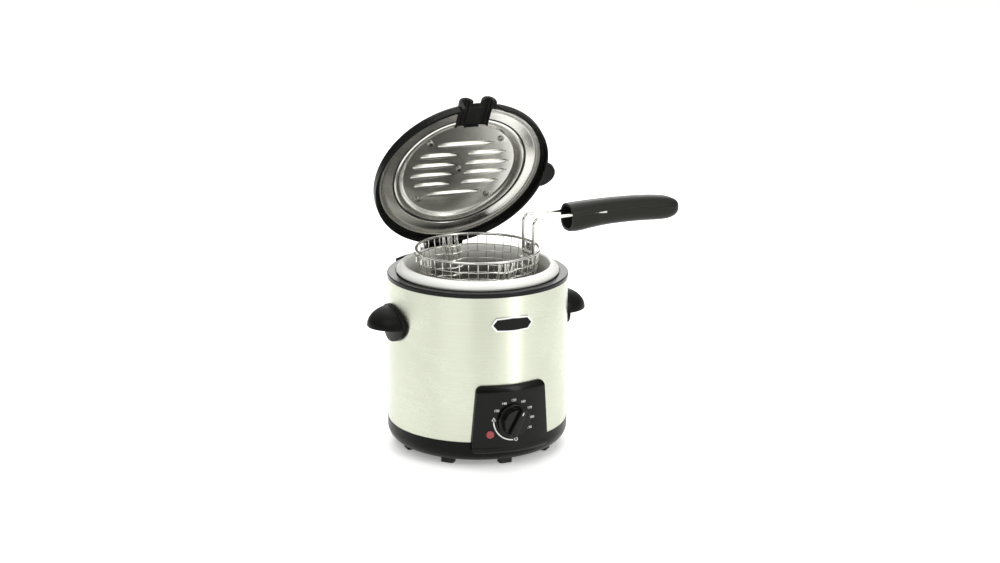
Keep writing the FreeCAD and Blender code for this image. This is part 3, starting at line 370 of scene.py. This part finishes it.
SATIN_BLACK = moulded_plastic("satin_black", BLACK, BLACK_WORN, 0.30)
GLOSS_BLACK = moulded_plastic("gloss_black", BLACK, BLACK_WORN, 0.19, depth=0.000004, coat=0.15)
MATT_BLACK = moulded_plastic("matt_black", (0.004, 0.004, 0.0038, 1), BLACK_WORN, 0.42, grain=1500.0,
                             depth=0.00002)
give(SATIN_BLACK, "base_housing", "rear_housing", "inlet_socket", "bottom_cover")
give(GLOSS_BLACK, "top_ring")


# ---- Carry handles --------------------------------------------------------------
# Two hollow lugs of black plastic, each held by two screws from inside the wall. They are
# grained a little coarser than the base, for grip.

give(MATT_BLACK, "carry_handle_left", "carry_handle_right", "lift_tab")


# ---- Feet and underside screws --------------------------------------------------
# Eight soft black rubber feet pressed into the base, and steel screws with a turned head.
# Rubber is matt, with a faint paler film in patches.

def rubber():
    finish, tree, shader, place = new_finish("rubber", Specular_IOR_Level=0.35)
    grain = use_group(tree, MOULDED_GRAIN, Vector=place, Grain=1200.0)
    film = use_group(tree, SMUDGES, Vector=place, Scale=90.0)
    feed(tree, shader, Base_Color=between(tree, film.outputs["Film"], (0.010, 0.010, 0.010, 1),
                                          (0.024, 0.023, 0.021, 1)),
         Roughness=value_between(tree, film.outputs["Film"], 0.5, 0.72),
         Normal=raised(tree, grain.outputs["Height"], 0.00002, 0.6))
    return finish


def drawn_metal(name, colour, dull, rough, lines=3000.0, spread=0.05, depth=0.000004):
    """Bare or plated metal with faint tool marks and a little dulling in patches."""
    finish, tree, shader, place = new_finish(name, Metallic=1.0)
    marks = use_group(tree, BRUSHING, Vector=place, Lines=lines, Depth=1.0)
    film = use_group(tree, SMUDGES, Vector=place, Scale=60.0)
    feed(tree, shader, Base_Color=between(tree, film.outputs["Film"], colour, dull),
         Roughness=value_between(tree, film.outputs["Film"], rough, rough + spread),
         Normal=raised(tree, marks.outputs["Height"], depth, 0.4))
    return finish


RUBBER = rubber()
SCREW_STEEL = drawn_metal("screw_steel", (0.36, 0.35, 0.33, 1), (0.24, 0.23, 0.22, 1), 0.20)
give(RUBBER, "feet", "lid_seal")
give(SCREW_STEEL, "base_screws", "handle_screws", "hinge_pin", "cover_screws", "thermostat_shaft",
     "grip_screw")


# ---- Heater, thermostat and wiring block inside ---------------------------------
# Cast aluminium plate with its tube element, a bright tin shield round it on ceramic and
# plastic posts, and the thermostat behind the panel.

give(drawn_metal("cast_aluminium", (0.62, 0.62, 0.60, 1), (0.5, 0.5, 0.48, 1), 0.42, 900.0),
     "heater_plate")
give(drawn_metal("element_steel", (0.30, 0.27, 0.24, 1), (0.2, 0.17, 0.15, 1), 0.35),
     "heating_element", "sensor_bulb")
give(drawn_metal("shield_steel", (0.66, 0.66, 0.65, 1), (0.55, 0.55, 0.54, 1), 0.25),
     "heat_shield", "thermostat_bracket")
give(drawn_metal("pin_brass", (0.78, 0.60, 0.30, 1), (0.6, 0.45, 0.22, 1), 0.22), "inlet_pins")
give(moulded_plastic("post_plastic", (0.32, 0.30, 0.26, 1), (0.5, 0.48, 0.42, 1), 0.5),
     "shield_posts", "terminal_block", "thermostat_body", "thermal_fuse")
give(moulded_plastic("ceramic_post", (0.75, 0.72, 0.66, 1), (0.85, 0.83, 0.78, 1), 0.35),
     "heater_posts")


# ---- Control panel ---------------------------------------------------------------
# Raised black moulding over the cut-out in the wrap, glossier than the base. A scale is
# printed on it in white: seven temperatures, the warm-up sweep and the ring for off.

PANEL_GLOSS = moulded_plastic("panel_gloss", (0.003, 0.0032, 0.0028, 1), BLACK_WORN, 0.24,
                              depth=0.000005, coat=0.12, rub_width=0.0004)
give(PANEL_GLOSS, "control_panel")

knob_low, knob_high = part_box("knob")
KNOB_Z = (knob_low.z + knob_high.z) / 2
PANEL_RADIUS = 0.0972
PRINT_PROUD = 0.00006
LABEL_RADIUS = 0.0208
LABEL_HEIGHT = 0.0026
LABELS = (("130", 302), ("140", 331), ("150", 0), ("160", 30), ("170", 60), ("180", 90), ("190", 120))
OFF_DEGREES = 172.0
SWEEP_FROM, SWEEP_TO = 181.0, 268.0
SWEEP_RADIUS = 0.0206
ICON_DEGREES = 275.0


def on_dial(radius, degrees):
    """(x, z) at an angle clockwise from the top of the knob."""
    turn = math.radians(degrees)
    return radius * math.sin(turn), KNOB_Z + radius * math.cos(turn)


def new_piece(name, bm, finish, body):
    """Makes a finished mesh a piece of the fryer that rides on a body."""
    mesh = bpy.data.meshes.new(name)
    bm.to_mesh(mesh)
    bm.free()
    mesh.materials.append(finish)
    piece = bpy.data.objects.new(name, mesh)
    bpy.context.scene.collection.objects.link(piece)
    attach(piece, body)
    return piece


def print_number(bm, text, x, z):
    """Adds a flat number, centred on (x, z), to the print."""
    letters = bpy.data.curves.new(text, "FONT")
    letters.body = text
    letters.size = LABEL_HEIGHT * 1.38
    letters.align_x = "CENTER"
    letters.align_y = "CENTER"
    letters.resolution_u = 3
    letters.offset = 0.00004
    holder = bpy.data.objects.new(text, letters)
    flat = bpy.data.meshes.new_from_object(holder)
    flat.transform(Matrix.Translation((x, 0, z)) @ Matrix.Rotation(math.radians(90), 4, "X"))
    bm.from_mesh(flat)
    bpy.data.objects.remove(holder)
    bpy.data.meshes.remove(flat)


def print_band(bm, centre, inner, outer, from_degrees, to_degrees, steps):
    """Adds a flat arc between two radii about (x, z), turning clockwise."""
    x, z = centre
    ends = [bm.verts.new((x + r * math.sin(math.radians(from_degrees)), 0,
                          z + r * math.cos(math.radians(from_degrees)))) for r in (inner, outer)]
    edge = bm.edges.new(ends)
    whole = abs(to_degrees - from_degrees) >= 360
    bmesh.ops.spin(bm, geom=[*ends, edge], cent=(x, 0, z), axis=(0, 1, 0), steps=steps,
                   angle=math.radians(to_degrees - from_degrees), use_merge=whole)


def dial_print(finish):
    bm = bmesh.new()
    for text, degrees in LABELS:
        print_number(bm, text, *on_dial(LABEL_RADIUS, degrees))
    middle = on_dial(0, 0)
    print_band(bm, middle, SWEEP_RADIUS - 0.0006, SWEEP_RADIUS + 0.0006, SWEEP_FROM, SWEEP_TO, 30)
    print_band(bm, on_dial(SWEEP_RADIUS, OFF_DEGREES), 0.0012, 0.0019, 0, 360, 24)
    print_band(bm, on_dial(SWEEP_RADIUS, ICON_DEGREES), 0.0010, 0.0015, 0, 360, 20)
    for degrees in (0, 120, 240):
        x, z = on_dial(SWEEP_RADIUS, ICON_DEGREES)
        print_band(bm, (x, z), 0.0017, 0.0023, degrees - 12, degrees + 12, 3)
    bmesh.ops.remove_doubles(bm, verts=bm.verts, dist=0.000005)
    bmesh.ops.subdivide_edges(bm, edges=[e for e in bm.edges if e.calc_length() > 0.0012], cuts=1)
    bmesh.ops.triangulate(bm, faces=bm.faces)
    bmesh.ops.recalc_face_normals(bm, faces=bm.faces)
    for face in bm.faces:
        if face.normal.y > 0:
            face.normal_flip()
    skin = bmesh.ops.extrude_face_region(bm, geom=bm.faces[:])
    front = [v for v in skin["geom"] if isinstance(v, bmesh.types.BMVert)]
    for vert in bm.verts:
        vert.co.y = -math.sqrt(PANEL_RADIUS ** 2 - vert.co.x ** 2)
    for vert in front:
        vert.co += Vector((vert.co.x, vert.co.y, 0)).normalized() * PRINT_PROUD
    bmesh.ops.recalc_face_normals(bm, faces=bm.faces)
    piece = new_piece("dial_print", bm, finish, "root")
    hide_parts("dial_marks")


def print_ink():
    """White pad-printed ink: thin in places, matt."""
    finish, tree, shader, place = new_finish("print_white")
    film = use_group(tree, SMUDGES, Vector=place, Scale=400.0)
    feed(tree, shader, Base_Color=between(tree, film.outputs["Film"], (0.83, 0.83, 0.81, 1),
                                          (0.66, 0.66, 0.64, 1)),
         Roughness=value_between(tree, film.outputs["Film"], 0.45, 0.6))
    return finish


PRINT_INK = print_ink()
dial_print(PRINT_INK)


# ---- Knob --------------------------------------------------------------------------
# Turned by its raised blade: one glossy black moulding pressed on the thermostat's
# shaft, with a white pointer line filled into the blade's end.

give(moulded_plastic("knob_gloss", (0.004, 0.0042, 0.004, 1), BLACK_WORN, 0.17, depth=0.000003,
                     coat=0.2, rub_width=0.0005), "knob")
give(PRINT_INK, "knob_pointer")


# ---- Indicator lamp ----------------------------------------------------------------
# A domed lens of clear red plastic with a facetted back. It stands in the panel, and a
# small neon lamp sits behind it.

def red_lens():
    finish, tree, shader, place = new_finish("red_lens", Roughness=0.08, IOR=1.49, Transmission_Weight=0.35,
                                             Coat_Weight=0.6, Coat_Roughness=0.04)
    facets = add_node(tree, "TexVoronoi", {"Vector": place, "Scale": 900.0})
    feed(tree, shader, Base_Color=between(tree, facets.outputs["Distance"], (0.55, 0.012, 0.02, 1),
                                          (0.22, 0.004, 0.008, 1)),
         Normal=raised(tree, facets.outputs["Distance"], 0.0001, 0.3))
    return finish


def lamp_glass():
    finish, tree, shader, place = new_finish("lamp_glass", Roughness=0.05, Transmission_Weight=0.8)
    film = use_group(tree, SMUDGES, Vector=place, Scale=200.0)
    feed(tree, shader, Base_Color=between(tree, film.outputs["Film"], (0.9, 0.75, 0.6, 1),
                                          (0.8, 0.5, 0.3, 1)))
    return finish


give(red_lens(), "indicator_lens")
give(lamp_glass(), "indicator_lamp")


# ---- Badge -------------------------------------------------------------------------
# A long six-sided frame, chromed, round a black enamelled face that is left blank. Pins
# hold it through the wrap.

give(drawn_metal("badge_chrome", (0.72, 0.72, 0.71, 1), (0.62, 0.62, 0.61, 1), 0.10, depth=0.000001),
     "badge_frame")
give(moulded_plastic("badge_black", (0.003, 0.003, 0.003, 1), (0.03, 0.03, 0.03, 1), 0.14,
                     depth=0.000003, coat=0.08), "badge_face")


# ---- Pot -----------------------------------------------------------------------------
# A loose cast pot with a thick flange that rests on the ring. Its face is a pale satin
# non-stick enamel. Inside, painted shade darkens it towards the bottom.

def pot_enamel():
    finish, tree, shader, place = new_finish("pot_enamel", Coat_Weight=0.15, Coat_Roughness=0.2)
    grain = use_group(tree, MOULDED_GRAIN, Vector=place, Grain=1100.0)
    film = use_group(tree, SMUDGES, Vector=place, Scale=22.0)
    parts = add_node(tree, "SeparateXYZ", {"Vector": place})
    # Painted shade: inside, the enamel goes from pale at the rim to near black at the bottom.
    depth = add_node(tree, "MapRange", {"Value": parts.outputs["Z"], "From Min": 0.166,
                                        "From Max": 0.1885}).outputs[0]
    painted_deep_shade = between(tree, film.outputs["Film"], (0.15, 0.15, 0.125, 1), (0.11, 0.11, 0.09, 1))
    tone = add_node(tree, "Mix", {"Factor": depth, "A": painted_deep_shade}, data_type="RGBA")
    tone.inputs["B"].default_value = (0.80, 0.80, 0.765, 1)
    feed(tree, shader, Base_Color=tone.outputs["Result"],
         Roughness=value_between(tree, film.outputs["Film"], 0.27, 0.36),
         Normal=raised(tree, grain.outputs["Height"], 0.00001, 0.4))
    return finish


give(pot_enamel(), "pot")


# ---- Basket ----------------------------------------------------------------------------
# A square wire cloth pressed into a cup. Its floor and four sides keep the square weave,
# and the spare cloth at the four corners is folded into flat pleats. The cloth is 1 mm
# tinned wire, and its edge is rolled round a heavier rim wire.

rim_low, rim_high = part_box("basket_rim")
cup_low, cup_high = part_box("basket_cup")
MESH_WIRE = 0.0010
PITCH = 0.0076
RIM_MIDDLE_Z = (rim_low.z + rim_high.z) / 2
CUP_TOP_RADIUS = cup_high.x - 0.0007
CUP_FOOT_RADIUS = CUP_TOP_RADIUS - 0.0062
CUP_FLOOR_Z = cup_low.z + 0.0006
CUP_CORNER = 0.008
PLEAT_AT = -84.0
PLEAT_HALF = 12.0
SIDE_HALF = 45.0
FOLD_IN = 0.0016


def cup_radius(z):
    """Radius of the cloth at a height, from the rounded foot to the rim."""
    up = min(max((z - CUP_FLOOR_Z) / (RIM_MIDDLE_Z - CUP_FLOOR_Z), 0.0), 1.0)
    flare = CUP_FOOT_RADIUS + (CUP_TOP_RADIUS - CUP_FOOT_RADIUS) * up
    into = max(CUP_CORNER - (z - CUP_FLOOR_Z), 0.0)
    return flare - CUP_CORNER + math.sqrt(max(CUP_CORNER ** 2 - into ** 2, 0.0))


def cup_point(degrees, z, inwards=0.0):
    r = cup_radius(z) - inwards
    turn = math.radians(degrees)
    return Vector((r * math.cos(turn), r * math.sin(turn), z))


def wire_mesh(name, paths, diameter, sides=2, closed=False):
    """A mesh of round wires along lists of points, as one smooth tube for each."""
    curve = bpy.data.curves.new(name, "CURVE")
    curve.dimensions = "3D"
    curve.bevel_depth = diameter / 2
    curve.bevel_resolution = sides
    curve.use_fill_caps = True
    for path in paths:
        spline = curve.splines.new("POLY")
        spline.points.add(len(path) - 1)
        for point, at in zip(spline.points, path):
            point.co = (*at, 1.0)
        spline.use_cyclic_u = closed
        spline.use_smooth = True
    holder = bpy.data.objects.new(name, curve)
    mesh = bpy.data.meshes.new_from_object(holder)
    bpy.data.objects.remove(holder)
    bpy.data.curves.remove(curve)
    bm = bmesh.new()
    bm.from_mesh(mesh)
    bpy.data.meshes.remove(mesh)
    return bm


def ring_wires():
    """Level wires: even on the four sides, folded to and fro in each pleat."""
    paths = []
    z = CUP_FLOOR_Z + CUP_CORNER
    row = 0
    while z < RIM_MIDDLE_Z - 0.004:
        path = []
        for corner in range(4):
            fold = PLEAT_AT + 90 * corner
            knots = [(fold - PLEAT_HALF, 0.0), (fold + PLEAT_HALF, 0.0),
                     (fold + PLEAT_HALF + 0.6, FOLD_IN * 0.5), (fold + PLEAT_HALF, FOLD_IN),
                     (fold - PLEAT_HALF, FOLD_IN), (fold - PLEAT_HALF - 0.6, FOLD_IN * 1.5),
                     (fold - PLEAT_HALF, FOLD_IN * 2), (fold + PLEAT_HALF, FOLD_IN * 2),
                     (fold + PLEAT_HALF + 7, 0.0), (fold + 90 - PLEAT_HALF, 0.0)]
            for (a, inwards), (b, next_inwards) in zip(knots, knots[1:]):
                steps = max(1, round(abs(b - a) / 3.0))
                for step in range(steps):
                    share = step / steps
                    dip = 0.0017 * math.sin(math.pi * share) if abs(b - a) == 2 * PLEAT_HALF else 0.0
                    sway = (-1) ** (step + row) * MESH_WIRE * 0.4
                    path.append(cup_point(a + (b - a) * share, z - dip,
                                          inwards + (next_inwards - inwards) * share + sway))
        paths.append(path)
        z += PITCH
        row += 1
    return paths


def riser_points(degrees, inwards, phase, lean=0.0):
    """One wire up the wall from its foot to the rim, weaving in and out."""
    points = []
    steps = round((RIM_MIDDLE_Z - CUP_FLOOR_Z) / (PITCH / 2))
    for step in range(steps + 1):
        z = CUP_FLOOR_Z + 0.0004 + (RIM_MIDDLE_Z - CUP_FLOOR_Z - 0.0004) * step / steps
        sway = (-1) ** (phase + step // 2) * MESH_WIRE * 0.4 if step % 2 == 0 else 0.0
        points.append(cup_point(degrees + lean * math.sin(math.pi * step / 4), z, inwards + sway))
    return points


def floor_wires():
    """Straight wires across the floor, each carried up both sides of the cup to the rim."""
    paths = []
    for turn in (0, 90):
        for k in range(-6, 7):
            off = k * PITCH
            reach = math.degrees(math.asin(off / cup_radius(CUP_FLOOR_Z + 0.0004)))
            if abs(reach) > SIDE_HALF:
                reach = math.copysign(SIDE_HALF - 2, reach)
            base = PLEAT_AT + SIDE_HALF + turn
            first = riser_points(base + reach, 0.0, k)
            second = riser_points(base + 180 - reach, 0.0, k + 1)
            paths.append(first[::-1] + second)
    return paths


def pleat_wires():
    """The spare wires of the folded cloth, in three layers at each corner."""
    paths = []
    for corner in range(4):
        fold = PLEAT_AT + 90 * corner
        for layer in range(3):
            for k in range(4):
                degrees = fold - PLEAT_HALF + 3.0 + 6.6 * k + 2.0 * layer
                if degrees < fold + PLEAT_HALF:
                    paths.append(riser_points(degrees, FOLD_IN * layer, k + layer, 1.5))
    return paths


def tinned_wire():
    return drawn_metal("tinned_wire", (0.86, 0.85, 0.82, 1), (0.70, 0.68, 0.64, 1), 0.18, 2400.0)


TINNED_WIRE = tinned_wire()
cloth = wire_mesh("basket_mesh", ring_wires(), MESH_WIRE, sides=1, closed=True)
risers = wire_mesh("risers", floor_wires() + pleat_wires(), MESH_WIRE, sides=1)
spare = bpy.data.meshes.new("spare")
risers.to_mesh(spare)
risers.free()
cloth.from_mesh(spare)
bpy.data.meshes.remove(spare)
basket_mesh = new_piece("basket_mesh", cloth, TINNED_WIRE, "basket")
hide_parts("basket_cup")
give(drawn_metal("chromed_wire", (0.62, 0.615, 0.59, 1), (0.52, 0.515, 0.49, 1), 0.09, 2400.0),
     "basket_rim", "handle_wires", "rest_hook", "handle_bracket")


# ---- Basket grip -----------------------------------------------------------------------
# Two halves of dark grey plastic closed round the handle wires with one screw from
# below. The finish is satin, and its seam runs along the side.

CHARCOAL = (0.017, 0.018, 0.0145, 1)
CHARCOAL_WORN = (0.06, 0.062, 0.054, 1)
give(moulded_plastic("grip_satin", CHARCOAL, CHARCOAL_WORN, 0.33, grain=1500.0, depth=0.000012,
                     rub_width=0.0005), "grip_upper", "grip_lower")


# ---- Lid ---------------------------------------------------------------------------------
# A black domed shell with a pressed steel pan inside it. The pan is polished, and worn
# to a faint haze by washing.

lid_joint = next(joint for joint in frame["joints"] if joint["name"] == "lid_hinge")
give(moulded_plastic("lid_satin", (0.0048, 0.005, 0.0045, 1), BLACK_WORN, 0.27), "lid_shell",
     "hinge_knuckle")
give(MATT_BLACK, "handle_gate")


def polished_steel(name, rough):
    """Pressed sheet: polishing lines one way, and haze in patches."""
    finish, tree, shader, place = new_finish(name, Metallic=1.0)
    drawn = add_node(tree, "Mapping", {"Vector": place, "Scale": (0.03, 1.0, 1.0)})
    lines = use_group(tree, BRUSHING, Vector=drawn.outputs[0], Lines=1600.0, Depth=1.0)
    film = use_group(tree, SMUDGES, Vector=place, Scale=18.0)
    tone = between(tree, lines.outputs["Shade"], (0.66, 0.65, 0.61, 1), (0.72, 0.71, 0.67, 1))
    feed(tree, shader, Base_Color=tone,
         Roughness=value_between(tree, film.outputs["Film"], rough, rough + 0.06),
         Normal=raised(tree, lines.outputs["Height"], 0.0000025, 0.3))
    return finish


PAN_STEEL = polished_steel("pan_steel", 0.20)
give(PAN_STEEL, "lid_pan", "filter_cover")


# ---- Filter cover louvres ------------------------------------------------------------------
# Each louvre is a long hood drawn out of the plate over its slot: full at one end, and
# tapering to the plate at the other, where a small hole lets the fat run back.

PLATE_FACE_Z = 0.1965
HOOD_WIDTH = 0.0070
HOOD_HEIGHT = 0.0029
HOOD_SUNK = 0.0003
WHOLE_ROWS = ((-0.0344, -0.0295, 0.0295), (0.0336, -0.0290, 0.0295))
SPLIT_ROWS = ((-0.0206, 0.0060, 0.0460), (-0.0070, 0.0062, 0.0520), (0.0062, 0.0064, 0.0522),
              (0.0198, 0.0066, 0.0456))
hinge_at = Vector(lid_joint["pos_m"])
lid_turn = Matrix.Rotation(math.radians(lid_joint["range_deg"][0]), 4, "X")
LID_OPENED = Matrix.Translation(hinge_at) @ lid_turn @ Matrix.Translation(-hinge_at)


def louvre_hood(bm, start, end, y):
    """One hood on the closed lid's underside, from x = start to x = end."""
    made = bmesh.ops.create_uvsphere(bm, u_segments=20, v_segments=14, radius=1.0,
                                     matrix=Matrix.Rotation(math.radians(90), 4, "Y"))
    verts = made["verts"]
    half = (end - start) / 2
    for vert in verts:
        along = math.copysign(abs(vert.co.x) ** (0.55 if vert.co.x < 0 else 0.95), vert.co.x)
        taper = 1.0 - 0.25 * (along + 1) / 2
        vert.co = Vector((along * half, vert.co.y * taper * HOOD_WIDTH / 2,
                          vert.co.z * taper * HOOD_HEIGHT))
    bmesh.ops.translate(bm, verts=verts, vec=((start + end) / 2, y, PLATE_FACE_Z))
    geom = verts + list({e for v in verts for e in v.link_edges} | {f for v in verts for f in v.link_faces})
    cut = bmesh.ops.bisect_plane(bm, geom=geom, plane_co=(0, 0, PLATE_FACE_Z + HOOD_SUNK),
                                 plane_no=(0, 0, 1), clear_outer=True)
    rim = [e for e in cut["geom_cut"] if isinstance(e, bmesh.types.BMEdge)]
    bmesh.ops.holes_fill(bm, edges=rim, sides=0)


def louvre_hoods():
    bm = bmesh.new()
    for y, start, end in WHOLE_ROWS:
        louvre_hood(bm, start, end, y)
    for y, inner, outer in SPLIT_ROWS:
        louvre_hood(bm, inner, outer, y)
        louvre_hood(bm, -outer, -inner, y)
    bmesh.ops.recalc_face_normals(bm, faces=bm.faces)
    for face in bm.faces:
        face.smooth = True
    bmesh.ops.transform(bm, matrix=LID_OPENED, verts=bm.verts)
    new_piece("louvre_hoods", bm, PAN_STEEL, "lid")


louvre_hoods()


# ---- Filter pad --------------------------------------------------------------------------
# A disc of carbon felt behind the louvres, which the steam passes through. It is soft and
# matt, with short loose fibres.

def felt():
    finish, tree, shader, place = new_finish("felt", Roughness=0.95, Sheen_Weight=0.3)
    fibres = add_node(tree, "TexNoise", {"Vector": place, "Scale": 1500.0, "Detail": 6.0,
                                         "Distortion": 2.5})
    feed(tree, shader, Base_Color=between(tree, fibres.outputs["Fac"], (0.012, 0.012, 0.012, 1),
                                          (0.05, 0.05, 0.048, 1)),
         Normal=raised(tree, fibres.outputs["Fac"], 0.0003, 0.8))
    return finish


give(felt(), "filter_pad")
